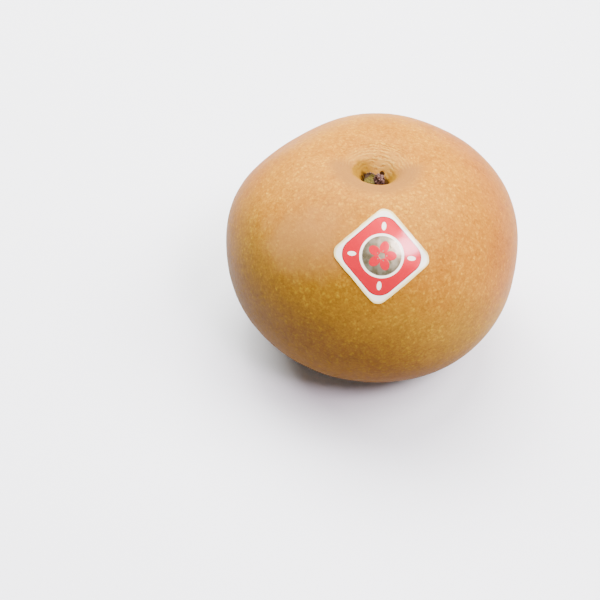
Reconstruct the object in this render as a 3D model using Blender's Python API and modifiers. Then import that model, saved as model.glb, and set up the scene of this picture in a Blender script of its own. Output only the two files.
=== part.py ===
"""Nashi pear, whole and picked, for Blender 4.5.

A large, flat-round russet fruit that stands on its blossom end, with its woody stem clipped
short inside the stem cavity and a blank foil label stuck on its shoulder.
Units are metres. +Z is up, and the origin is on the ground under the middle of the fruit.
The front, where the label is, faces -Y.
"""

import math

import bmesh
import bpy
from mathutils import Matrix, Vector, noise
from mathutils.bvhtree import BVHTree

# Fruit, driving dimensions
MEAN_RADIUS = 0.0509
CROWN_HEIGHT = 0.0436  # widest level to the shoulder, before the hollows are sunk
BASE_DEPTH = 0.0399  # widest level down to the blossom end, before the basin is sunk
SHOULDER_FULLNESS = 0.82  # 1 is an ellipse, less is squarer

# Stem cavity: a wide dish with a steep funnel in its middle
DISH_DEPTH = 0.0061
DISH_RADIUS = 0.0132
FUNNEL_DEPTH = 0.0078
FUNNEL_RADIUS = 0.0057
FUNNEL_POWER = 2.4  # higher is steeper, with a flatter floor
CAVITY_OFFSET = Vector((-0.0002, -0.0038))  # the cavity sits off the axis, to the front
CAVITY_OFFSET_REACH = 0.020

# Blossom end: a basin with the corky ring and pit that the fallen flower leaves
BASIN_DEPTH = 0.0081
BASIN_RADIUS = 0.0112
SCAR_RING_RADIUS = 0.0034
SCAR_RING_HEIGHT = 0.0006
SCAR_RING_WIDTH = 0.0009
SCAR_PIT_DEPTH = 0.0014
SCAR_PIT_RADIUS = 0.0015
SCAR_PIT_POWER = 4
FOOT_FLATNESS = 0.00018  # how much of the lowest ring is pressed flat

# Lopsided growth. Each lobe is a share of the radius and the direction of its first crest.
LOBES = {
    1: (0.0033, math.radians(172)),
    2: (0.0039, math.radians(3)),
    3: (0.0105, math.radians(-57)),
    4: (0.0031, math.radians(-5)),
    5: (0.0030, math.radians(21)),
}
CROWN_TILT = Vector((-0.035, -0.097))  # rise of the shoulder along X and Y
CROWN_TILT_POWER = 1.5  # how late the tilt sets in above the widest level
FLAT_SIDE_DEPTH = 0.0026  # the shoulder behind the left is flatter than the rest
FLAT_SIDE_AZIMUTH = math.radians(147)
FLAT_SIDE_ELEVATION = math.radians(33)
FLAT_SIDE_SPREAD = 0.42
UNDULATION = 0.00022
UNDULATION_SIZE = 0.019
UNDULATION_START = 0.012  # the foot below this height stays even

# Facets
PROFILE_SAMPLES = 4000
AROUND = 72
FINE_ROW = 0.0012
COARSE_ROW = 0.0038
FINE_ROW_REACH = 0.021  # rows stay close together this near the axis

# Stem, cut off aslant inside the cavity
STEM_HEIGHT = 0.0038  # at the middle of the cut
STEM_RADIUS = 0.0023
STEM_FOOT_RADIUS = 0.0017
STEM_LEAN = Vector((-0.0019, 0.0001))  # from the foot to the cut
STEM_CUT_SLOPE = Vector((0.12, 0.50))  # the cut falls to the front and a little to the left
STEM_CUT_HOLLOW = 0.0003  # the pith has dried back below the rim of bark
STEM_CUT_RINGS = ((0.35, 0.9), (0.70, 0.4), (0.90, 0.0), (1.0, 1.0))  # share of radius, of hollow
STEM_SIDES = ((0.98, 0.66), (0.95, 0.36))  # share of the radius and of the height
STEM_RIDGES = {3: (0.05, 0.4), 5: (0.04, 1.9), 8: (0.02, 0.7)}  # share of the radius and phase
STEM_AROUND = 30

# Woody knob on the right of the stem, where a side bud has dried
KNOB_RADII = Vector((0.0020, 0.0018, 0.0030))
KNOB_OFFSET = Vector((0.0010, 0.0001, 0.0029))  # from the middle of the stem's foot
KNOB_ROUGHNESS = 0.16  # share of the radius
KNOB_GRAIN = 0.0011
KNOB_DETAIL = 3

# Foil label
LABEL_SIDE = 0.0233
LABEL_CORNER = 0.0036
LABEL_CORNER_CUTS = 5
LABEL_THICKNESS = 0.0004
LABEL_AZIMUTH = math.radians(-85.4)
LABEL_ELEVATION = math.radians(41.4)
LABEL_TURN = math.radians(45 - 5)
LABEL_STRIPS = 11  # each way, so that the label can follow the skin

GAP = 0.0003  # between pieces that touch
MERGE = 0.00001
SHARP_EDGE = math.radians(50)


def clear_scene():
    for obj in list(bpy.data.objects):
        bpy.data.objects.remove(obj, do_unlink=True)


def principled(name, colour, roughness, metallic=0.0):
    material = bpy.data.materials.new(name)
    material.use_nodes = True
    shader = material.node_tree.nodes["Principled BSDF"]
    shader.inputs["Base Color"].default_value = (*colour, 1)
    shader.inputs["Roughness"].default_value = roughness
    shader.inputs["Metallic"].default_value = metallic
    material.diffuse_color = (*colour, 1)
    return material


def bell(distance, width, power=2):
    return math.exp(-((abs(distance) / width) ** power))


def outer_profile(angle):
    """Radius and height at an angle from +90 degrees, the stem, to -90, the blossom end."""
    radius = MEAN_RADIUS * max(math.cos(angle), 0)
    rise = abs(math.sin(angle)) ** SHOULDER_FULLNESS
    if angle > 0:
        height = CROWN_HEIGHT * rise
        height -= DISH_DEPTH * bell(radius, DISH_RADIUS)
        height -= FUNNEL_DEPTH * bell(radius, FUNNEL_RADIUS, FUNNEL_POWER)
    else:
        height = -BASE_DEPTH * rise
        height += BASIN_DEPTH * bell(radius, BASIN_RADIUS)
        height -= SCAR_RING_HEIGHT * bell(radius - SCAR_RING_RADIUS, SCAR_RING_WIDTH)
        height += SCAR_PIT_DEPTH * bell(radius, SCAR_PIT_RADIUS, SCAR_PIT_POWER)
    return Vector((radius, 0, height))


def fruit_profile():
    """Points from the cavity floor to the blossom pit, closer together near the axis.

    Also gives the height of the widest level above the ground.
    """
    angles = [math.pi * (0.5 - i / PROFILE_SAMPLES) for i in range(PROFILE_SAMPLES + 1)]
    curve = [outer_profile(angle) for angle in angles]
    ground = min(point.z for point in curve) + FOOT_FLATNESS
    for point in curve:
        point.z = max(point.z, ground) - ground
    travelled = [0.0]
    for before, after in zip(curve, curve[1:]):
        near = min(1, before.x / FINE_ROW_REACH)
        spacing = FINE_ROW + (COARSE_ROW - FINE_ROW) * near**2
        travelled.append(travelled[-1] + (after - before).length / spacing)
    rows = round(travelled[-1])
    points = []
    index = 0
    for row in range(rows + 1):
        while index < PROFILE_SAMPLES and travelled[index] < travelled[-1] * row / rows:
            index += 1
        points.append(curve[index])
    points[0].x = points[-1].x = 0
    return points, -ground


def turned(name, points, steps):
    """A closed body of revolution, as a plain mesh, from a profile that runs top to bottom."""
    mesh = bpy.data.meshes.new(name + "_profile")
    mesh.from_pydata(points, [(i, i + 1) for i in range(len(points) - 1)], [])
    guide = bpy.data.objects.new(name + "_profile", mesh)
    bpy.context.collection.objects.link(guide)
    screw = guide.modifiers.new("Screw", "SCREW")
    screw.steps = screw.render_steps = steps
    screw.use_merge_vertices = True
    screw.merge_threshold = MERGE
    graph = bpy.context.evaluated_depsgraph_get()
    solid = bpy.data.meshes.new_from_object(guide.evaluated_get(graph))
    bpy.data.objects.remove(guide)
    body = bpy.data.objects.new(name, solid)
    bpy.context.collection.objects.link(body)
    return body


def direction(azimuth, elevation):
    level = Vector((math.cos(azimuth), math.sin(azimuth), 0)) * math.cos(elevation)
    return level + Vector((0, 0, math.sin(elevation)))


def lopsided(point, widest):
    """Moves a point of the turned fruit to where the grown fruit has it."""
    azimuth = math.atan2(point.y, point.x)
    radius = point.xy.length
    above = min(max((point.z - widest) / CROWN_HEIGHT, 0), 1)
    lobe = sum(share * math.cos(count * (azimuth - crest)) for count, (share, crest) in LOBES.items())
    place = point.xy * (1 + lobe)
    if above > 0:
        place += CAVITY_OFFSET * bell(radius, CAVITY_OFFSET_REACH)
    height = point.z + above**CROWN_TILT_POWER * CROWN_TILT.dot(place)
    grown = Vector((place.x, place.y, height))
    outwards = (grown - Vector((0, 0, widest))).normalized()
    from_flat_side = outwards.angle(direction(FLAT_SIDE_AZIMUTH, FLAT_SIDE_ELEVATION))
    grown -= outwards * FLAT_SIDE_DEPTH * bell(from_flat_side, FLAT_SIDE_SPREAD)
    clear_of_foot = min(grown.z / UNDULATION_START, 1)
    return grown + outwards * UNDULATION * clear_of_foot * noise.noise(grown / UNDULATION_SIZE)


def make_fruit(material):
    """Gives the fruit and its core, the point on its axis at the widest level."""
    profile, widest = fruit_profile()
    fruit = turned("fruit", profile, AROUND)
    mesh = fruit.data
    for vertex in mesh.vertices:
        vertex.co = lopsided(vertex.co.copy(), widest)
    low = Vector([min(vertex.co[axis] for vertex in mesh.vertices) for axis in range(3)])
    high = Vector([max(vertex.co[axis] for vertex in mesh.vertices) for axis in range(3)])
    middle = (low + high).xy / 2
    mesh.transform(Matrix.Translation((-middle.x, -middle.y, 0)))
    mesh.shade_smooth()
    mesh.materials.append(material)
    return fruit, Vector((-middle.x, -middle.y, widest))


def skin_of(fruit):
    solid = bmesh.new()
    solid.from_mesh(fruit.data)
    tree = BVHTree.FromBMesh(solid)
    solid.free()
    return tree


def stem_profile():
    """The stub from the hollow middle of its cut face, over the bark's rim, to its foot."""
    outline = [(0, STEM_HEIGHT - STEM_CUT_HOLLOW)]
    for across, sunk in STEM_CUT_RINGS:
        outline.append((STEM_RADIUS * across, STEM_HEIGHT - STEM_CUT_HOLLOW * sunk))
    for across, risen in STEM_SIDES:
        outline.append((STEM_RADIUS * across, STEM_HEIGHT * risen))
    outline.append((STEM_FOOT_RADIUS, 0))
    outline.append((0, 0))
    return [Vector((x, 0, z)) for x, z in outline]


def seat_on(skin, mesh, centre):
    """The height at which the mesh, stood at a place in plan, clears the skin by the gap."""
    down = Vector((0, 0, -1))
    rises = []
    for vertex in mesh.vertices:
        start = (centre + vertex.co.xy).to_3d() - down
        rises.append(skin.ray_cast(start, down)[0].z - vertex.co.z)
    return max(rises) + GAP


def add_knob(stem):
    bpy.ops.mesh.primitive_ico_sphere_add(subdivisions=KNOB_DETAIL, radius=1)
    knob = bpy.context.object
    knob.name = "knob"
    for vertex in knob.data.vertices:
        vertex.co *= KNOB_RADII
        swell = noise.noise(vertex.co / KNOB_GRAIN)
        vertex.co = vertex.co * (1 + KNOB_ROUGHNESS * swell) + KNOB_OFFSET
    knob.hide_render = True
    knob.display_type = "WIRE"
    union = stem.modifiers.new("Knob", "BOOLEAN")
    union.operation = "UNION"
    union.object = knob
    graph = bpy.context.evaluated_depsgraph_get()
    stem.data = bpy.data.meshes.new_from_object(stem.evaluated_get(graph))
    stem.modifiers.clear()
    bpy.data.objects.remove(knob)


def make_stem(skin, core, material):
    stem = turned("stem", stem_profile(), STEM_AROUND)
    for vertex in stem.data.vertices:
        place = vertex.co
        azimuth = math.atan2(place.y, place.x)
        for count, (share, phase) in STEM_RIDGES.items():
            place.xy *= 1 + share * math.cos(count * azimuth + phase)
        share_of_height = max(place.z / STEM_HEIGHT, 0)
        place.z += share_of_height**2 * STEM_CUT_SLOPE.dot(place.xy)
        place.xy += share_of_height * STEM_LEAN
    centre = core.xy + CAVITY_OFFSET
    height = seat_on(skin, stem.data, centre)
    add_knob(stem)
    stem.data.transform(Matrix.Translation((centre.x, centre.y, height)))
    stem.data.set_sharp_from_angle(angle=SHARP_EDGE)
    stem.data.materials.clear()
    stem.data.materials.append(material)
    return stem


def label_sheet():
    """A flat square with round corners, cut into a grid so that it can follow the skin."""
    sheet = bmesh.new()
    bmesh.ops.create_grid(sheet, x_segments=1, y_segments=1, size=LABEL_SIDE / 2)
    corners = sheet.verts[:]
    bmesh.ops.bevel(
        sheet, geom=corners, offset=LABEL_CORNER, segments=LABEL_CORNER_CUTS, profile=0.5, affect="VERTICES"
    )
    for axis in (Vector((1, 0, 0)), Vector((0, 1, 0))):
        for cut in range(1, LABEL_STRIPS):
            place = axis * LABEL_SIDE * (cut / LABEL_STRIPS - 0.5)
            everything = sheet.verts[:] + sheet.edges[:] + sheet.faces[:]
            bmesh.ops.bisect_plane(sheet, geom=everything, plane_co=place, plane_no=axis)
    return sheet


def make_label(skin, core, material):
    outwards = direction(LABEL_AZIMUTH, LABEL_ELEVATION)
    touch, normal = skin.ray_cast(core + outwards, -outwards)[:2]
    sideways = Vector((0, 0, 1)).cross(normal).normalized()
    upwards = normal.cross(sideways)
    facing = Matrix((sideways, upwards, normal)).transposed().to_4x4()
    held_off = Matrix.Translation(touch + normal * LABEL_SIDE)

    sheet = label_sheet()
    sheet.transform(held_off @ facing @ Matrix.Rotation(LABEL_TURN, 4, "Z"))
    for vertex in sheet.verts:
        vertex.co = skin.ray_cast(vertex.co, -normal)[0] + normal * GAP
    if sum(face.normal.dot(normal) for face in sheet.faces) < 0:
        bmesh.ops.reverse_faces(sheet, faces=sheet.faces[:])
    mesh = bpy.data.meshes.new("label")
    sheet.to_mesh(mesh)
    sheet.free()
    mesh.materials.append(material)
    label = bpy.data.objects.new("label", mesh)
    bpy.context.collection.objects.link(label)
    wall = label.modifiers.new("Thickness", "SOLIDIFY")
    wall.thickness = LABEL_THICKNESS
    wall.offset = 1
    return label


def main():
    clear_scene()
    collection = bpy.data.collections.new("nashi_pear")
    bpy.context.scene.collection.children.link(collection)
    layers = bpy.context.view_layer.layer_collection.children
    bpy.context.view_layer.active_layer_collection = layers[collection.name]

    russet_skin = principled("russet_skin", (0.58, 0.33, 0.13), 0.5)
    cut_stem = principled("cut_stem", (0.30, 0.22, 0.09), 0.75)
    foil = principled("foil", (0.72, 0.10, 0.10), 0.3, 0.6)

    fruit, core = make_fruit(russet_skin)
    skin = skin_of(fruit)
    make_stem(skin, core, cut_stem)
    make_label(skin, core, foil)


main()
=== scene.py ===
import math

import bmesh
import bpy
from mathutils import Matrix, Vector, noise
from mathutils.bvhtree import BVHTree


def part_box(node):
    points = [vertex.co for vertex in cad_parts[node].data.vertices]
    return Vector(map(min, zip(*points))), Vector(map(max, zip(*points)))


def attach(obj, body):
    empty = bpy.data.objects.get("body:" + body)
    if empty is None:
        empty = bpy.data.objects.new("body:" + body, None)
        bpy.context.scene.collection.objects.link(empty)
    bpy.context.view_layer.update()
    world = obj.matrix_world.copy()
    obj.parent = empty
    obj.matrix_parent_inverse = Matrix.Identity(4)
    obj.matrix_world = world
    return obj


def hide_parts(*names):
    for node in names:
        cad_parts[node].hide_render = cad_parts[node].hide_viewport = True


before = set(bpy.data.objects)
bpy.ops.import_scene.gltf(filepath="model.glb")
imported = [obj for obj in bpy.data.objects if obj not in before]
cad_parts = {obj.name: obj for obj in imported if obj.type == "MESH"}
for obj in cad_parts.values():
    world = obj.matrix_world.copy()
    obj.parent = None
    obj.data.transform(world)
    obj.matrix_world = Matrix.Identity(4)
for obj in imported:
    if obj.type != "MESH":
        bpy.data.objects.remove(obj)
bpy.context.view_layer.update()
mm = 0.001
up = Vector((0, 0, 1))
print("frame loaded, nodes:", sorted(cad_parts))


# Camera, at the photograph's viewing angle. The pear stands off the middle of the picture.
cameraValues = {
    "target": (0.75 * mm, -0.24 * mm, 37.0 * mm),  # on the fruit's axis, at its widest level
    "targetPixel": (372.6, 245.5),
    "imageSide": 600,
    "focalPixels": 1203.0,
    "sensorWidth": 36,
    "clipStart": 0.01,
    "distance": 0.4267,
    "elevation": math.radians(45.0),
    "roll": math.radians(-3.4),
}


def makeCamera():
    values = cameraValues
    elevation = values["elevation"]
    ahead = Vector((0, math.cos(elevation), -math.sin(elevation)))
    target = Vector(values["target"])
    half = values["imageSide"] / 2
    pixel = values["targetPixel"]
    towardsTarget = Vector((pixel[0] - half, half - pixel[1], -values["focalPixels"]))
    aimed = ahead.to_track_quat("-Z", "Y").to_matrix() @ Matrix.Rotation(-values["roll"], 3, "Z")
    turned = aimed @ towardsTarget.rotation_difference(-up).to_matrix()
    camera = bpy.data.objects.new("camera", bpy.data.cameras.new("camera"))
    bpy.context.scene.collection.objects.link(camera)
    camera.matrix_world = Matrix.Translation(target - ahead * values["distance"]) @ turned.to_4x4()
    camera.data.sensor_width = values["sensorWidth"]
    camera.data.lens = values["focalPixels"] / values["imageSide"] * values["sensorWidth"]
    camera.data.clip_start = values["clipStart"]
    bpy.context.scene.camera = camera


makeCamera()
print("camera placed")


# One value in a material's nodes, so that its maths reads as maths
class Wire:
    def __init__(self, tree, socket=None):
        self.tree = tree
        self.socket = socket

    def node(self, kind, settings=None, values=None, output=0):
        new = self.tree.nodes.new("ShaderNode" + kind)
        for name, setting in (settings or {}).items():
            setattr(new, name, setting)
        for name, value in (values or {}).items():
            if isinstance(value, Wire):
                self.tree.links.new(value.socket, new.inputs[name])
            else:
                new.inputs[name].default_value = value
        return Wire(self.tree, new.outputs[output])

    def math(self, operation, *values):
        return self.node("Math", {"operation": operation}, dict(enumerate(values)))

    def __add__(self, other):
        return self.math("ADD", self, other)

    def __sub__(self, other):
        return self.math("SUBTRACT", self, other)

    def __rsub__(self, other):
        return self.math("SUBTRACT", other, self)

    def __mul__(self, other):
        return self.math("MULTIPLY", self, other)

    def __truediv__(self, other):
        return self.math("DIVIDE", self, other)

    def __pow__(self, other):
        return self.math("POWER", self, other)

    def __abs__(self):
        return self.math("ABSOLUTE", self)

    __radd__ = __add__
    __rmul__ = __mul__

    def root(self):
        return self.math("SQRT", self)

    def atLeast(self, other):
        return self.math("MAXIMUM", self, other)

    def smooth(self, low, high):
        edges = {"From Min": low, "From Max": high}
        return self.node("MapRange", {"interpolation_type": "SMOOTHSTEP"}, {"Value": self, **edges})

    def mix(self, first, second, blend="MIX"):  # this value is the share of the second colour
        settings = {"data_type": "RGBA", "blend_type": blend}
        return self.node("Mix", settings, {0: self, 6: first, 7: second}, 2)

    def lay(self, under, layer, blend="MIX"):  # a layer is a strength and a colour
        strength, colour = layer
        return (self * strength).mix(under, colour, blend)

    def tint(self, under, layer):
        return self.lay(under, layer, "MULTIPLY")

    def vector(self, operation, *values, output=0):
        return self.node("VectorMath", {"operation": operation}, dict(enumerate(values)), output)

    def distance(self, middle):
        return self.vector("DISTANCE", self, middle, output=1)

    def parts(self):
        return [self.node("SeparateXYZ", None, {0: self}, axis) for axis in range(3)]

    def attribute(self, name):
        return self.node("Attribute", {"attribute_name": name}, None, "Fac")

    def noise(self, size, detail=2.0, roughness=0.5, output=0):  # the size is in millimetres
        values = {"Vector": self, "Scale": 1 / (size * mm), "Detail": detail, "Roughness": roughness}
        return self.node("TexNoise", None, values, output)

    def stray(self, size, reach, detail=2.0, roughness=0.5):  # noise about zero, in millimetres
        return (self.noise(size, detail, roughness) - 0.5) * (reach * mm)

    def cells(self, size):
        values = {"Vector": self, "Scale": 1 / (size * mm)}
        return self.node("TexVoronoi", {"feature": "F1"}, values)

    def wander(self, size, reach, start=0.0):  # this place, moved about by noise, in millimetres
        shift = self.vector("ADD", self, (start, 0, 0)).noise(size, 1.0, 0.5, 1)
        shift = shift.vector("SUBTRACT", shift, (0.5, 0.5, 0.5))
        return self.vector("ADD", self, shift.vector("MULTIPLY", shift, (reach * mm,) * 3))

    def bump(self, height, depth, under=None):  # the depth is in millimetres, for a height from 0 to 1
        values = {"Height": height, "Distance": depth * mm, "Strength": 1.0}
        if under:
            values["Normal"] = under
        return self.node("Bump", None, values)


def rgb(red, green, blue):
    return (red, green, blue, 1.0)


def newMaterial(name):
    material = bpy.data.materials.new(name)
    material.use_nodes = True
    shader = material.node_tree.nodes["Principled BSDF"]
    wire = Wire(material.node_tree)
    return material, shader, wire, wire.node("TexCoord", None, None, "Object")


def feed(shader, **wires):  # BaseColor=wire goes to the shader's "Base Color"
    for name, wire in wires.items():
        socket = "".join(" " + letter if letter.isupper() else letter for letter in name).strip()
        wire.tree.links.new(wire.socket, shader.inputs[socket])


# Mesh helpers
mergeDistance = 0.01 * mm


def pieceFrom(name, mesh):
    piece = bpy.data.objects.new(name, mesh)
    bpy.context.scene.collection.objects.link(piece)
    return select(piece)


def select(piece):
    bpy.ops.object.select_all(action="DESELECT")
    piece.select_set(True)
    bpy.context.view_layer.objects.active = piece
    return piece


def copyOfNode(node, name):  # merged and in edit mode, because a node's mesh is loose triangles
    piece = pieceFrom(name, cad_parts[node].data.copy())
    piece.data.materials.clear()
    bpy.ops.object.mode_set(mode="EDIT")
    bpy.ops.mesh.select_all(action="SELECT")
    bpy.ops.mesh.remove_doubles(threshold=mergeDistance)
    return piece


def applyAll(piece):
    for modifier in list(piece.modifiers):
        bpy.ops.object.modifier_apply(modifier=modifier.name)


def skinTree(piece):
    mesh = bmesh.new()
    mesh.from_mesh(piece.data)
    tree = BVHTree.FromBMesh(mesh)
    mesh.free()
    return tree


def bell(distance, width):
    return math.exp(-((distance / width) ** 2))


def held(value, low=0, high=1):
    return min(max(value, low), high)


def finished(piece, node, material):
    piece.data.materials.clear()
    piece.data.materials.append(material)
    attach(piece, "root")
    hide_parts(node)
    print(piece.name, "made,", len(piece.data.polygons), "faces")


# Fruit. A reach is where a mask is 0 and where it is 1. A layer is a strength and a colour.
pearValues = {
    "smoothing": 2,
    "swell": 0.10 * mm,
    "swellSize": 13 * mm,
    "dimple": 0.035 * mm,
    "dimpleSize": 4.5 * mm,
    "footTop": 3 * mm,  # the skin below this height stays even, so that the foot stays flat
    "cavity": (0.2 * mm, -4.0 * mm),  # middle of the stem cavity, in plan
    "cavityEdge": 30 * mm,
    "cavityRidge": 0.022 * mm,  # fine rings on the cavity's wall
    "cavityRidgeSpacing": 1.25 * mm,
    "cavityRidgeWander": (2.2, 5 * mm),  # in radians, and the size of its noise
    "cavityRidgePatch": (0.35, 3 * mm),  # more gives larger patches, and the size of their noise
    "cavityRidgeFade": (0.6, 4 * mm, 0.2),  # share at the stem, distance that adds 1, least share
    "cavityRidgeBand": (9 * mm, 4 * mm),  # distance from the stem, and width
    "blossom": (0.75 * mm, -0.24 * mm),  # middle of the blossom end, in plan
    "blossomTop": 9 * mm,
    "blossomEdge": 13 * mm,
    "sepalScars": 5,
    "sepalScarTurn": 0.6,
    "sepalScarHeight": 0.35 * mm,
    "sepalScarRadius": 3.2 * mm,
    "sepalScarWidth": 0.9 * mm,
    "pleats": 13,
    "pleatHeight": 0.10 * mm,
    "pleatRadius": 6.5 * mm,
    "pleatWidth": 2.6 * mm,
    "pleatWander": (2, 6 * mm),  # in radians, and the size of its noise
    "pitShadeReach": (0.9 * mm, 2.0 * mm),  # from the stem: painted shade darkens the skin up to the first distance
    "pitShadeWander": (0.6 * mm, 0.9 * mm),  # distance, and the size of its noise
    "groundTones": (rgb(0.347, 0.130, 0.0069), rgb(0.387, 0.155, 0.0100)),
    # mostly painted shade, with a real olive tone: the skin darkens along this way
    "shadeWay": (-0.40, -0.59, -1.09),  # down, to the front and to the left
    "shadeOffset": 54.5 * mm,
    "halfOliveAndShadeReach": (-6 * mm, 25 * mm),
    "halfOliveAndShade": (1, rgb(0.253, 0.116, 0.0044)),
    "oliveAndShadeReach": (18 * mm, 51 * mm),
    "oliveAndShade": (1, rgb(0.108, 0.043, 0.0010)),
    # painted bounce light: a bluer tint low down on the right stands in for light reflected up from below
    "paintedBounceReach": (35 * mm, 22 * mm),
    "paintedBounceSideReach": (-16 * mm, 8 * mm),
    "low": (1, rgb(1.0, 0.97, 3.2)),
    "rimReflectionTop": 70 * mm,  # a painted rim reflection tints the sides and the back greyish pink, and more so further below this height
    "rimReflectionReach": (20 * mm, 38 * mm),
    "rimReflectionFrom": (30 * mm, 45 * mm),
    "rosy": (0.7, rgb(0.80, 0.62, 0.92)),
    "mottling": {  # size in millimetres, roughness, reach, and layer
        "blotch": (4.5, 0.55, (0.50, 0.70), (0.4, rgb(0.84, 0.75, 0.67))),
        "mottle": (1.9, 0.55, (0.46, 0.64), (0.5, rgb(0.75, 0.71, 0.66))),
        "grain": (0.9, 0.6, (0.48, 0.66), (0.8, rgb(1.25, 1.36, 1.50))),
        "speck": (0.42, 0.6, (0.54, 0.70), (0.7, rgb(0.62, 0.55, 0.50))),
    },
    "dotPatchReach": (0.30, 0.62),
    "bigDotReach": (0.52, 0.12),
    "bigDot": (0.68, rgb(1.34, 1.56, 1.66)),
    "dotRimReach": (0.66, 0.42),
    "dotRim": (0.30, rgb(0.76, 0.70, 0.60)),
    "smallDotReach": (0.46, 0.12),
    "smallDot": (0.64, rgb(1.22, 1.38, 1.50)),
    # painted sheen: a pale patch on the upper left, standing in for a broad soft highlight
    "paintedSheenMiddle": (-20 * mm, -31 * mm, 68.5 * mm),
    "paintedSheenStretch": (0.58, 0.92, 0.92),  # less makes the patch longer that way
    "paintedSheenReach": (14.8 * mm, 4 * mm),
    "paintedSheen": (0.55, rgb(0.381, 0.181, 0.050)),
    "crownReach": (60 * mm, 64 * mm),  # heights above which the cavity's colours show
    # painted light: the cavity's wall is made paler where it lies in shade
    "wallLightReach": (13 * mm, 8 * mm),  # distances from the stem
    "wall": (0.75, rgb(0.440, 0.206, 0.032)),
    # rosier and darker on the cavity's near slope, partly a real blush and partly painted shade
    "blushAndShadeReach": (18 * mm, 12 * mm),
    "blushAndShadeInnerReach": (6.0 * mm, 8.5 * mm),
    "blushAndShadeFrontReach": (5 * mm, 0 * mm),
    "blushAndShade": (0.85, rgb(0.258, 0.110, 0.025)),
    # olive gold and darker low on the cavity's sides, partly a real tone and partly painted shade
    "goldAndShadeReach": (8.6 * mm, 6.0 * mm),
    "goldAndShadeShare": (0.12, 1.7, 1.5),  # in front and behind, gain towards the sides, and its power
    "gold": (1, rgb(0.240, 0.113, 0.0060)),
    "sidewaysOffset": 1.2 * mm,
    "sidewaysSoftness": 0.8 * mm,
    "farWallLightMiddle": (3.2 * mm, 1.2 * mm, 72.5 * mm),  # painted light: a pale patch on the cavity's far wall
    "farWallLightReach": (5.0 * mm, 1.5 * mm),
    "pale": (0.36, rgb(0.600, 0.320, 0.072)),
    "ringSpacing": 1.05 * mm,
    "ringWander": 16,
    "ringFarReach": (-3 * mm, 4 * mm),
    "ringPatchReach": (0.38, 0.56),
    "ringOuterReach": (16 * mm, 12 * mm),
    "ringInnerReach": (3.5 * mm, 5.0 * mm),
    "crackReach": (0.30, 0.90),
    "crack": (0.80, rgb(0.66, 0.56, 0.43)),
    # painted highlight along the rings' ridges
    "ridgeHighlightReach": (-0.30, -0.90),
    "ridgeHighlight": (0.80, rgb(1.25, 1.50, 1.80)),
    # painted shade deep in the cavity
    "deepShadeReach": (9 * mm, 7 * mm),
    "deepShadeLevel": (71.1 * mm, 70.5 * mm),  # heights below which painted shade darkens the skin, at the stem
    "deepShadeSlope": 0.35,
    "deepShadeStrength": 0.9,
    "spotMiddle": (2.5 * mm, 0.3 * mm, 70.4 * mm),  # a dark spot on the cavity's far wall
    "spotReach": (1.15 * mm, 0.75 * mm),
    "dark": (1, rgb(0.028, 0.0100, 0.0025)),
    "underReach": (12 * mm, 9 * mm),  # heights below which the blossom end's colours show
    "basinReach": (16 * mm, 8 * mm),
    "basin": (0.5, rgb(0.350, 0.206, 0.037)),
    "scarReach": (4.6 * mm, 3.6 * mm),
    "scarStrength": 0.9,
    "corkReach": (0.35, 0.7),
    "cork": (rgb(0.053, 0.022, 0.0075), rgb(0.169, 0.088, 0.034)),
    "roughness": 0.46,
    "specular": 0.05,
    "poreDepth": 0.012,  # the depths are in millimetres
    "grainDepth": 0.035,
    "ringDepth": 0.035,
    "dotDepth": 0.03,
}


def cavityRelief(place, fromStem):
    values = pearValues
    wander, wanderSize = values["cavityRidgeWander"]
    patchShare, patchSize = values["cavityRidgePatch"]
    atStem, fadeReach, least = values["cavityRidgeFade"]
    distance, width = values["cavityRidgeBand"]
    turn = wander * noise.noise(place / wanderSize)
    wave = math.sin(math.tau * fromStem / values["cavityRidgeSpacing"] + turn)
    patch = max(noise.noise(place / patchSize) + patchShare, 0)
    patch *= held((place.y - values["cavity"][1]) / fadeReach + atStem, least)
    return values["cavityRidge"] * wave * patch * bell(fromStem - distance, width)


def scarRelief(flat, around):
    values = pearValues
    scar = max(math.cos(values["sepalScars"] * around + values["sepalScarTurn"]), 0) ** 2
    band = bell(flat.length - values["sepalScarRadius"], values["sepalScarWidth"])
    return values["sepalScarHeight"] * scar * band


def pleatRelief(place, flat, around):
    values = pearValues
    wander, wanderSize = values["pleatWander"]
    pleat = math.cos(values["pleats"] * around + wander * noise.noise(place / wanderSize))
    return values["pleatHeight"] * pleat * bell(flat.length - values["pleatRadius"], values["pleatWidth"])


def pearRelief(place):
    values = pearValues
    relief = values["swell"] * noise.noise(place / values["swellSize"])
    relief += values["dimple"] * noise.noise(place / values["dimpleSize"])
    relief *= held((place.z - values["footTop"]) / values["footTop"])
    fromStem = (place.xy - Vector(values["cavity"])).length
    if place.z > values["blossomTop"] and fromStem < values["cavityEdge"]:
        relief += cavityRelief(place, fromStem)
    flat = place.xy - Vector(values["blossom"])
    if place.z < values["blossomTop"] and flat.length < values["blossomEdge"]:
        around = math.atan2(flat.y, flat.x)
        relief += scarRelief(flat, around)
        relief += pleatRelief(place, flat, around)
    return relief


def makePear():
    pear = copyOfNode("fruit", "pearSkin")
    bpy.ops.mesh.tris_convert_to_quads(face_threshold=math.pi, shape_threshold=math.pi)
    bpy.ops.object.mode_set(mode="OBJECT")
    finer = pear.modifiers.new("finer", "SUBSURF")
    finer.levels = finer.render_levels = pearValues["smoothing"]
    applyAll(pear)
    normals = [vertex.normal.copy() for vertex in pear.data.vertices]
    for vertex, normal in zip(pear.data.vertices, normals):
        vertex.co += normal * pearRelief(vertex.co)
    bpy.ops.object.shade_smooth()
    return pear


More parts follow.
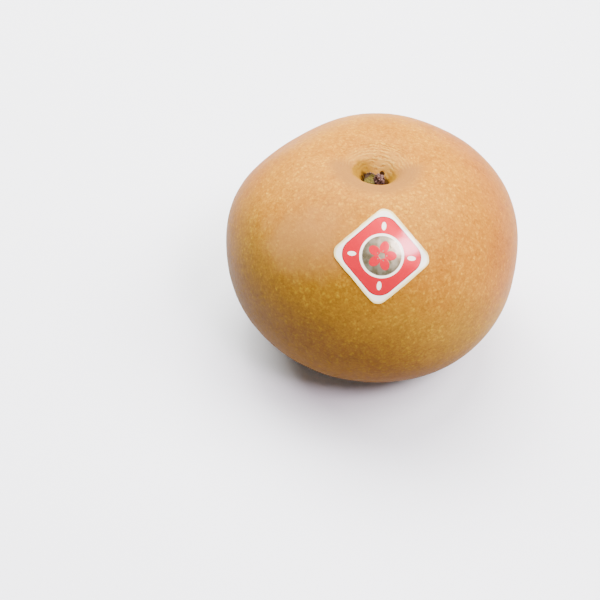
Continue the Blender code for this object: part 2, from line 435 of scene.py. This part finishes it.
def groundColour(place, x, y, z):
    # orange ochre ground; down, to the front and to the left it turns olive gold and much darker, mostly
    # painted shade with a real olive tone
    values = pearValues
    shadeWay = place.vector("DOT_PRODUCT", place, values["shadeWay"], output=1)
    shadeWay = shadeWay + values["shadeOffset"] + place.stray(15, 16)
    colour = place.noise(24).smooth(0.36, 0.66).mix(*values["groundTones"])
    # painted shade with a real olive tone, down, to the front and to the left
    colour = shadeWay.smooth(*values["halfOliveAndShadeReach"]).lay(colour, values["halfOliveAndShade"])
    colour = shadeWay.smooth(*values["oliveAndShadeReach"]).lay(colour, values["oliveAndShade"])
    # painted bounce light, bluer low down on the right
    paintedBounce = z.smooth(*values["paintedBounceReach"]) * x.smooth(*values["paintedBounceSideReach"])
    colour = paintedBounce.tint(colour, values["low"])
    # painted rim reflection: greyish pink where the skin turns away, at the sides and the back
    rimReflectionWay = abs(x) * 0.8 + x * 0.1 + y * 0.5 + (values["rimReflectionTop"] - z) * 0.45
    rimReflectionWay = rimReflectionWay + place.stray(11, 14)
    rosy = rimReflectionWay.smooth(*values["rimReflectionReach"]) * z.smooth(*values["rimReflectionFrom"])
    return rosy.tint(colour, values["rosy"])


def mottledColour(place, colour):
    # the corky skin's mottling: each layer lightens or darkens the ground colour
    noises = {}
    for name, (size, roughness, reach, layer) in pearValues["mottling"].items():
        noises[name] = place.noise(size, 2.0, roughness)
        colour = noises[name].smooth(*reach).tint(colour, layer)
    return colour, noises


def dottedColour(place, colour):
    # lenticels: soft pale corky dots of two sizes
    values = pearValues
    strength = place.noise(5.5, 1.0).smooth(*values["dotPatchReach"]) * 0.6 + 0.4
    fromDot = place.wander(1.3, 1.5).cells(1.9)
    bigDot = fromDot.smooth(*values["bigDotReach"]) * strength
    rim = fromDot.smooth(*values["dotRimReach"]) * (1 - bigDot)
    smallDot = place.wander(1.1, 1.1, 7.0).cells(1.25).smooth(*values["smallDotReach"])
    colour = rim.tint(colour, values["dotRim"])
    colour = smallDot.tint(colour, values["smallDot"])
    return bigDot.tint(colour, values["bigDot"]), bigDot, smallDot


def paintedSheenColour(place, colour):
    # painted sheen: a pale patch that stands in for a broad soft highlight, and veils the mottling
    values = pearValues
    fromSheen = place.vector("SUBTRACT", place, values["paintedSheenMiddle"])
    fromSheen = fromSheen.vector("MULTIPLY", fromSheen, values["paintedSheenStretch"])
    fromSheen = fromSheen.vector("LENGTH", fromSheen, output=1) + place.stray(9, 12)
    return fromSheen.smooth(*values["paintedSheenReach"]).lay(colour, values["paintedSheen"])


def flatDistance(x, y, middle):
    return ((x - middle[0]) ** 2 + (y - middle[1]) ** 2).root()


def cavityPlace(x, y, z):
    # distance from the stem, distance behind it, share that is sideways, and the crown's mask
    values = pearValues
    fromStem = flatDistance(x, y, values["cavity"])
    sideways = abs(x - values["cavity"][0] - values["sidewaysOffset"])
    sideways = sideways / (fromStem + values["sidewaysSoftness"])
    return fromStem, y - values["cavity"][1], sideways, z.smooth(*values["crownReach"])


def wallColour(place, colour, cavity):
    # on the cavity's wall, painted light makes it paler, more so on a patch of the far wall; in front it
    # is rosier and darker, partly painted shade; lower down at the sides it is golden and darker, partly
    # painted shade
    values = pearValues
    fromStem, behind, sideways, crown = cavity
    # painted light on the cavity's wall
    wall = crown * fromStem.smooth(*values["wallLightReach"])
    colour = wall.lay(colour, values["wall"])
    # rosier and darker in front, partly painted shade
    blushAndShade = crown * fromStem.smooth(*values["blushAndShadeReach"])
    blushAndShade = blushAndShade * fromStem.smooth(*values["blushAndShadeInnerReach"])
    blushAndShade = blushAndShade * (behind + place.stray(7, 6, 1.0)).smooth(*values["blushAndShadeFrontReach"])
    colour = blushAndShade.lay(colour, values["blushAndShade"])
    # golden and darker at the sides, partly painted shade
    least, gain, power = values["goldAndShadeShare"]
    gold = crown * (fromStem + place.stray(4.0, 3, 1.0)).smooth(*values["goldAndShadeReach"])
    colour = (gold * (least + gain * sideways**power)).lay(colour, values["gold"])
    # painted light on a patch of the far wall
    pale = place.distance(values["farWallLightMiddle"]).smooth(*values["farWallLightReach"])
    return pale.lay(colour, values["pale"])


def ringColour(place, colour, cavity):
    # fine rings of dark cracks and pale ridges, clearest on the far wall; the ridges' paleness is a
    # painted highlight
    values = pearValues
    fromStem, behind, sideways, crown = cavity
    wander = place.noise(2.6, 3.0, 0.6) * values["ringWander"]
    ring = place.math("SINE", fromStem / values["ringSpacing"] * math.tau + wander)
    farSide = behind.smooth(*values["ringFarReach"]) * 0.75 + 0.25
    farSide = farSide * (1.05 - sideways * 0.7)
    patch = place.noise(2.2, 1.0).smooth(*values["ringPatchReach"]) * farSide
    band = crown * fromStem.smooth(*values["ringOuterReach"])
    band = band * fromStem.smooth(*values["ringInnerReach"])
    crack = ring.smooth(*values["crackReach"]) * patch * band
    colour = crack.tint(colour, values["crack"])
    # painted highlight on the ridges
    ridgeHighlight = ring.smooth(*values["ridgeHighlightReach"]) * patch * band
    return ridgeHighlight.tint(colour, values["ridgeHighlight"]), ridgeHighlight - crack


def darkColour(place, colour, z, cavity, speck):
    # painted shade: dark skin where it meets the stem and deep in the cavity; also a dark spot on the far
    # wall
    values = pearValues
    fromStem, behind, _, crown = cavity
    level = z + behind * values["deepShadeSlope"] + place.stray(1.2, 0.8)
    deepShade = crown * fromStem.smooth(*values["deepShadeReach"]) * level.smooth(*values["deepShadeLevel"])
    spot = place.distance(values["spotMiddle"]) + (speck - 0.5) * (0.8 * mm)
    # painted shade at the stem and deep in the cavity
    dark = place.attribute("pit").atLeast(deepShade * values["deepShadeStrength"])
    dark = dark.atLeast(spot.smooth(*values["spotReach"]))
    return dark.lay(colour, values["dark"])


def blossomColour(place, colour, x, y, z):
    # a paler basin and a dark corky scar
    values = pearValues
    fromBlossom = flatDistance(x, y, values["blossom"])
    under = z.smooth(*values["underReach"])
    basin = under * fromBlossom.smooth(*values["basinReach"])
    colour = basin.lay(colour, values["basin"])
    scarEdge = fromBlossom + place.stray(1.6, 2.2, 2.0, 0.6)
    scar = under * scarEdge.smooth(*values["scarReach"])
    cork = place.noise(0.7, 3.0, 0.7).smooth(*values["corkReach"]).mix(*values["cork"])
    return scar.lay(colour, (values["scarStrength"], cork)), scar


def russetSkin():
    values = pearValues
    material, shader, _, place = newMaterial("russetSkin")
    x, y, z = place.parts()
    colour = groundColour(place, x, y, z)
    colour, noises = mottledColour(place, colour)
    colour, bigDot, smallDot = dottedColour(place, colour)
    colour = paintedSheenColour(place, colour)
    cavity = cavityPlace(x, y, z)
    colour = wallColour(place, colour, cavity)
    colour, rings = ringColour(place, colour, cavity)
    colour = darkColour(place, colour, z, cavity, noises["speck"])
    colour, scar = blossomColour(place, colour, x, y, z)
    rough = values["roughness"] + noises["grain"] * 0.10 + bigDot * 0.10 + scar * 0.3
    relief = place.bump(noises["speck"], values["poreDepth"])
    relief = place.bump(noises["grain"], values["grainDepth"], relief)
    relief = place.bump(rings, values["ringDepth"], relief)
    relief = place.bump(bigDot + smallDot * 0.5, values["dotDepth"], relief)
    feed(shader, BaseColor=colour, Roughness=rough, Normal=relief)
    shader.inputs["Specular IOR Level"].default_value = values["specular"]
    return material


pear = makePear()
finished(pear, "fruit", russetSkin())
pearTree = skinTree(pear)


def paintPitShade(stem):  # painted shade on the skin where it meets the stem
    stemTree = skinTree(stem)
    inner, outer = pearValues["pitShadeReach"]
    wander, wanderSize = pearValues["pitShadeWander"]
    pit = pear.data.attributes.new("pit", "FLOAT", "POINT")
    for vertex in pear.data.vertices:
        near = stemTree.find_nearest(vertex.co, outer + wander)[3]
        if near is not None:
            near += wander * noise.noise(vertex.co / wanderSize)
            share = held((outer - near) / (outer - inner))
            pit.data[vertex.index].value = share * share * (3 - 2 * share)


# Stem stub with its knob
stemValues = {
    "grain": 0.11 * mm,
    "rootDepth": 1.3 * mm,  # how far the foot is pulled down into the fruit
    "rootHeight": 1.6 * mm,
    "rootPower": 1.5,
    "cutFacing": Vector((-0.12, -0.50, 1)),  # direction that the cut faces
    "cutMiddle": (0.24, 0.47),  # in plan, as shares of the stem's box
    "cutRadius": 2.5 * mm,
    "cutDepth": 0.4 * mm,
    "cutEvenness": 0.6,  # more leaves out more of the skin that is turned away from the cut
    "fissures": 0.30 * mm,
    "fissureSize": 1.1 * mm,
    "fissureStretch": 0.4,  # less makes them longer, up the stem
    "fissureWidth": 0.25,
    "wrinkles": 0.14 * mm,
    "wrinkleSize": 0.7 * mm,
    "cutShares": (0.4, 0.3),  # how much of the wrinkles and of the fissures the cut has
    "cutWrinkleSize": 0.5 * mm,
    "barkStretch": (1.0, 1.0, 0.25),
    "barkReach": (0.39, 0.56),
    "bark": (rgb(0.0100, 0.0025, 0.0025), rgb(0.160, 0.088, 0.070)),
    "barkDepth": 0.12,  # in millimetres
    "blotchReach": (0.45, 0.62),
    "blotch": (0.6, rgb(0.075, 0.039, 0.036)),
    "woodReach": (0.34, 0.70),
    "wood": (rgb(0.044, 0.031, 0.0013), rgb(0.118, 0.087, 0.0080)),
    "woodRimReach": (0.55, 0.90),  # as shares of the cut's radius
    "woodRim": (1, rgb(0.047, 0.034, 0.0025)),
    "stainMiddle": (-2.2 * mm, -3.8 * mm),  # in plan: the cut is stained brown behind and left of here
    "stainReach": (0.2 * mm, 0.7 * mm),
    "stain": (0.92, rgb(0.024, 0.0090, 0.0030)),
    "roughness": 0.75,
    "specular": 0.12,
}


def stemRelief(place, onCut):
    values = stemValues
    streak = Vector((place.x, place.y, place.z * values["fissureStretch"])) / values["fissureSize"]
    near = noise.voronoi(streak)[0]
    fissure = 1 - min((near[1] - near[0]) / values["fissureWidth"], 1)
    if onCut:
        wrinkleShare, fissureShare = values["cutShares"]
        relief = wrinkleShare * values["wrinkles"] * noise.noise(place / values["cutWrinkleSize"])
        return relief - fissureShare * values["fissures"] * fissure
    relief = values["wrinkles"] * noise.noise(place / values["wrinkleSize"])
    return relief - values["fissures"] * fissure


def makeStem():
    values = stemValues
    stem = copyOfNode("stem", "stemStub")
    bpy.ops.object.mode_set(mode="OBJECT")
    low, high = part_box("stem")
    stem.data.remesh_voxel_size = values["grain"]
    bpy.ops.object.voxel_remesh()
    cutX = low.x + (high.x - low.x) * values["cutMiddle"][0]
    cutY = low.y + (high.y - low.y) * values["cutMiddle"][1]
    cutPoint = skinTree(stem).ray_cast(Vector((cutX, cutY, high.z + 1)), -up)[0]
    facing = values["cutFacing"].normalized()
    cut = stem.data.attributes.new("cut", "FLOAT", "POINT")
    rim = stem.data.attributes.new("rim", "FLOAT", "POINT")
    normals = [vertex.normal.copy() for vertex in stem.data.vertices]
    for index, (vertex, normal) in enumerate(zip(stem.data.vertices, normals)):
        place = vertex.co.copy()
        offset = place - cutPoint
        depth = offset.dot(facing)
        across = (offset - facing * depth).length
        nearCut = abs(depth) < values["cutDepth"] and across < values["cutRadius"]
        onCut = nearCut and normal.dot(facing) > values["cutEvenness"]
        cut.data[index].value = 1.0 if onCut else 0.0
        rim.data[index].value = across / values["cutRadius"]
        vertex.co += normal * stemRelief(place, onCut)
        root = held((low.z + values["rootHeight"] - place.z) / values["rootHeight"])
        vertex.co.z -= values["rootDepth"] * root ** values["rootPower"]
    bpy.ops.object.shade_smooth()
    return stem


def cutWood(place, blotch):
    # greenish wood with a darker rim and a brown stain
    values = stemValues
    wood = place.noise(0.55, 3.0, 0.6).smooth(*values["woodReach"]).mix(*values["wood"])
    fromMiddle = place.attribute("rim") + (blotch - 0.5) * 0.6
    wood = fromMiddle.smooth(*values["woodRimReach"]).lay(wood, values["woodRim"])
    x, y, _ = place.parts()
    middle = values["stainMiddle"]
    stainWay = (y - middle[1]) * 0.8 - (x - middle[0]) * 0.6 + (blotch - 0.5) * (1.2 * mm)
    return stainWay.smooth(*values["stainReach"]).lay(wood, values["stain"])


def stemWood():
    values = stemValues
    material, shader, _, place = newMaterial("stemWood")
    bark = place.vector("MULTIPLY", place, values["barkStretch"]).noise(0.7, 3.0, 0.65)
    colour = bark.smooth(*values["barkReach"]).mix(*values["bark"])
    blotch = place.noise(1.1)
    colour = blotch.smooth(*values["blotchReach"]).lay(colour, values["blotch"])
    cut = place.attribute("cut")
    colour = cut.mix(colour, cutWood(place, blotch))
    relief = place.bump(bark, values["barkDepth"])
    feed(shader, BaseColor=colour, Roughness=values["roughness"] - cut * 0.12, Normal=relief)
    shader.inputs["Specular IOR Level"].default_value = values["specular"]
    return material


stem = makeStem()
finished(stem, "stem", stemWood())
paintPitShade(stem)


# Foil label
labelValues = {
    "side": 23.3 * mm,
    "corner": 3.6 * mm,
    "turn": math.radians(40),
    "cells": 72,
    "thickness": 0.10 * mm,
    "smoothAngle": math.radians(40),
    "lift": 0.05 * mm,  # between the label and the skin
    "edgeLift": 0.22 * mm,
    "edgeWidth": 4.5 * mm,
    "edgeWaves": 0.30 * mm,
    "edgeWaveSize": 5.5 * mm,
    "edgeWaveStart": Vector((3.1, 0, 0)),
    "outlineWaves": 0.16 * mm,
    "outlineWaveSize": 2.6 * mm,
    "outlineWaveMiddle": 0.3,
    "border": 1.40,  # the printed design's lengths are in millimetres
    "fieldCorner": 5.0,
    "fieldLineReach": (-0.34, -0.16),
    "edgeReach": (-0.95, -0.35),
    "window": 7.0,
    "windowLine": 0.8,
    "pip": (9.35, 1.35, 0.72),  # distance out, half length and half width of the pips in the corners
    "petals": 5,
    "petalRing": 2.75,
    "petal": (1.95, 1.45),
    "eye": 1.0,
    "stamenRing": 1.55,
    "stamen": 0.24,
    "softness": 0.06,  # half the width of a printed edge
    "stamenSoftness": 0.05,
    "pipSoftness": 0.10,  # as a share of the pip, and the petal's as a share of the petal
    "petalSoftness": 0.08,
    "foilReach": (0.35, 0.65),
    "foil": (rgb(0.250, 0.205, 0.105), rgb(0.390, 0.350, 0.230)),
    "cream": (1, rgb(0.960, 0.930, 0.800)),
    "edge": (0.8, rgb(0.780, 0.620, 0.170)),
    "red": (1, rgb(0.600, 0.001, 0.018)),
    "fieldLine": (0.75, rgb(0.200, 0.002, 0.008)),
    "metallic": 0.80,
    "roughness": 0.24,
    "specular": 0.15,
    "coatRoughness": 0.17,
    "coatIor": 1.5,
    "embossDepth": 0.02,
    "crumple": (3.5, 0.14),  # size and depth
}


def roundedPlace(x, y, half, corner):
    # the ring of a square that a point is on becomes a ring of a rounded square
    ring = max(abs(x), abs(y))
    radius = corner * (ring / half) ** 2
    straight = ring - radius
    heldX = held(x, -straight, straight)
    heldY = held(y, -straight, straight)
    out = Vector((x - heldX, y - heldY))
    if out.length == 0 or radius == 0:
        return Vector((x, y))
    return Vector((heldX, heldY)) + out.normalized() * radius


def wavyPlace(x, y):
    values = labelValues
    flat = roundedPlace(x, y, values["side"] / 2, values["corner"])
    wave = noise.noise(flat.to_3d() / values["outlineWaveSize"]) - values["outlineWaveMiddle"]
    return flat * (1 + wave * values["outlineWaves"] / values["side"] * 2)


def edgeDistance(flat, half, corner):
    beyond = Vector((max(abs(flat.x) - half + corner, 0), max(abs(flat.y) - half + corner, 0)))
    inner = min(max(abs(flat.x) - half + corner, abs(flat.y) - half + corner), 0)
    return corner - beyond.length - inner


def labelFrame():
    # middle and outward direction of the label, from its node
    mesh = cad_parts["label"].data
    middle = sum((vertex.co for vertex in mesh.vertices), Vector()) / len(mesh.vertices)
    skinPoint, normal = pearTree.find_nearest(middle)[:2]
    sideways = up.cross(normal).normalized()
    facing = Matrix((sideways, normal.cross(sideways), normal)).transposed()
    return skinPoint, normal, facing @ Matrix.Rotation(labelValues["turn"], 3, "Z")


def labelLift(flat):
    values = labelValues
    edge = 1 - min(edgeDistance(flat, values["side"] / 2, values["corner"]) / values["edgeWidth"], 1)
    waves = max(noise.noise(flat.to_3d() / values["edgeWaveSize"] + values["edgeWaveStart"]), 0)
    return values["lift"] + edge**2 * (values["edgeLift"] * edge + values["edgeWaves"] * waves)


def makeLabel():
    values = labelValues
    side, cells = values["side"], values["cells"]
    skinPoint, normal, facing = labelFrame()
    bpy.ops.object.select_all(action="DESELECT")
    bpy.ops.mesh.primitive_grid_add(x_subdivisions=cells, y_subdivisions=cells, size=side)
    label = bpy.context.object
    label.name = label.data.name = "foilLabel"
    flats = [wavyPlace(vertex.co.x, vertex.co.y) for vertex in label.data.vertices]
    layer = label.data.uv_layers.active.data
    for loop in label.data.loops:
        layer[loop.index].uv = flats[loop.vertex_index] / side + Vector((0.5, 0.5))
    for vertex, flat in zip(label.data.vertices, flats):
        start = skinPoint + facing @ flat.to_3d() + normal * side
        vertex.co = pearTree.ray_cast(start, -normal)[0] + normal * labelLift(flat)
    wall = label.modifiers.new("thickness", "SOLIDIFY")
    wall.thickness = values["thickness"]
    wall.offset = 1
    select(label)
    applyAll(label)
    bpy.ops.object.shade_smooth_by_angle(angle=values["smoothAngle"])
    return label


def disc(fromMiddle, radius, softness):
    return fromMiddle.smooth(radius + softness, radius - softness)


def oval(along, across, halves, softness):
    long, wide = halves
    return ((along / long) ** 2 + (across / wide) ** 2).smooth(1 + softness, 1 - softness)


def pastRoundedSquare(reachX, reachY, half, corner):  # distance out from its outline
    straight = half - corner
    overX = (reachX - straight).atLeast(0.0)
    overY = (reachY - straight).atLeast(0.0)
    return (overX * overX + overY * overY).root() - corner


def pipMask(reachX, reachY):  # a pip in each corner of the field
    out, long, wide = labelValues["pip"]
    along = (reachX + reachY) * math.sqrt(0.5) - out
    across = (reachX - reachY) * math.sqrt(0.5)
    return oval(along, across, (long, wide), labelValues["pipSoftness"])


def blossomMask(x, y, reach):
    # petals with a stamen's dot each, by folding the circle into one petal's share of it
    values = labelValues
    share = math.tau / values["petals"]
    around = x.math("ARCTAN2", y, x) + values["turn"] + math.pi
    folded = x.math("FLOORED_MODULO", around, share) - share / 2
    along = reach * x.math("COSINE", folded)
    across = reach * x.math("SINE", folded)
    petal = oval(along - values["petalRing"], across, values["petal"], values["petalSoftness"])
    eye = disc(reach, values["eye"], values["softness"])
    stamenX = along - values["stamenRing"]
    stamenReach = (stamenX * stamenX + across * across).root()
    stamen = disc(stamenReach, values["stamen"], values["stamenSoftness"])
    return petal * (1 - eye) * (1 - stamen)


def labelFoil():
    values = labelValues
    soft = values["softness"]
    half = values["side"] / 2 / mm
    material, shader, wire, place = newMaterial("labelFoil")
    u, v, _ = wire.node("TexCoord", None, None, "UV").parts()
    x = (u - 0.5) * (2 * half)
    y = (v - 0.5) * (2 * half)
    reachX, reachY = abs(x), abs(y)
    reach = (x * x + y * y).root()

    # a red field with rounder corners than the label's, and the label's yellowish edge
    fromField = pastRoundedSquare(reachX, reachY, half - values["border"], values["fieldCorner"])
    field = disc(fromField, 0, soft)
    fieldLine = fromField.smooth(*values["fieldLineReach"]) * field
    fromEdge = pastRoundedSquare(reachX, reachY, half, values["corner"] / mm)
    edge = fromEdge.smooth(*values["edgeReach"])

    pip = pipMask(reachX, reachY)
    window = disc(reach, values["window"], soft)
    foilDisc = disc(reach, values["window"] - values["windowLine"], soft)
    red = (field * (1 - window) * (1 - pip)).atLeast(blossomMask(x, y, reach))
    cream = (1 - field).atLeast(window * (1 - foilDisc)).atLeast(pip * field)
    brushed = place.noise(2.2)
    colour = brushed.smooth(*values["foilReach"]).mix(*values["foil"])
    colour = cream.lay(colour, values["cream"])
    colour = edge.lay(colour, values["edge"])
    colour = red.lay(colour, values["red"])
    colour = fieldLine.lay(colour, values["fieldLine"])
    metal = values["metallic"] - red * 0.60 - cream * 0.80
    rough = values["roughness"] + brushed * 0.10 + red * 0.05
    crumpleSize, crumpleDepth = values["crumple"]
    relief = place.bump(red, values["embossDepth"])
    relief = place.bump(place.noise(crumpleSize), crumpleDepth, relief)
    feed(shader, BaseColor=colour, Metallic=metal, Roughness=rough, Normal=relief)
    shader.inputs["Specular IOR Level"].default_value = values["specular"]
    shader.inputs["Coat Weight"].default_value = 1.0
    shader.inputs["Coat Roughness"].default_value = values["coatRoughness"]
    shader.inputs["Coat IOR"].default_value = values["coatIor"]
    return material


label = makeLabel()
finished(label, "label", labelFoil())


# Floor and light
stageValues = {
    "floorSide": 8.0,
    "floorColours": (rgb(0.88, 0.89, 0.91), rgb(0.86, 0.87, 0.89)),
    "floorRoughness": 0.8,
    "worldColour": rgb(0.93, 0.96, 1.0),
    "worldStrength": 0.24,
    "boxDistance": 1.0,
    "boxes": {  # azimuth from +X towards +Y, elevation, width in metres, power in watts, colour
        "behind": (90, 66, 0.7, 24, (1, 1, 1)),
        "behindLeft": (135, 50, 0.7, 18.4, (1, 1, 1)),
        "right": (0, 54, 0.7, 20.8, (1, 1, 1)),
        "frontRight": (-49, 56, 0.28, 8.6, (1, 0.84, 1)),
    },
}


def makeFloor():
    bpy.ops.object.select_all(action="DESELECT")
    bpy.ops.mesh.primitive_plane_add(size=stageValues["floorSide"])
    floor = bpy.context.object
    floor.name = "floor"
    material, shader, _, place = newMaterial("paleFloor")
    feed(shader, BaseColor=place.noise(60).mix(*stageValues["floorColours"]))
    shader.inputs["Roughness"].default_value = stageValues["floorRoughness"]
    floor.data.materials.append(material)


def makeWorld():
    world = bpy.data.worlds.new("studio")
    world.use_nodes = True
    background = world.node_tree.nodes["Background"]
    background.inputs["Color"].default_value = stageValues["worldColour"]
    background.inputs["Strength"].default_value = stageValues["worldStrength"]
    bpy.context.scene.world = world


def softbox(name, azimuth, elevation, width, power, colour):
    light = bpy.data.objects.new(name, bpy.data.lights.new(name, "AREA"))
    bpy.context.scene.collection.objects.link(light)
    light.data.shape = "DISK"
    light.data.size = width
    light.data.energy = power
    light.data.color = colour
    around, above = math.radians(azimuth), math.radians(elevation)
    level = math.cos(above)
    outward = Vector((math.cos(around) * level, math.sin(around) * level, math.sin(above)))
    light.location = outward * stageValues["boxDistance"]
    light.rotation_euler = outward.to_track_quat("Z", "Y").to_euler()


makeFloor()
makeWorld()
for boxName, box in stageValues["boxes"].items():
    softbox(boxName, *box)
print("floor and light made")
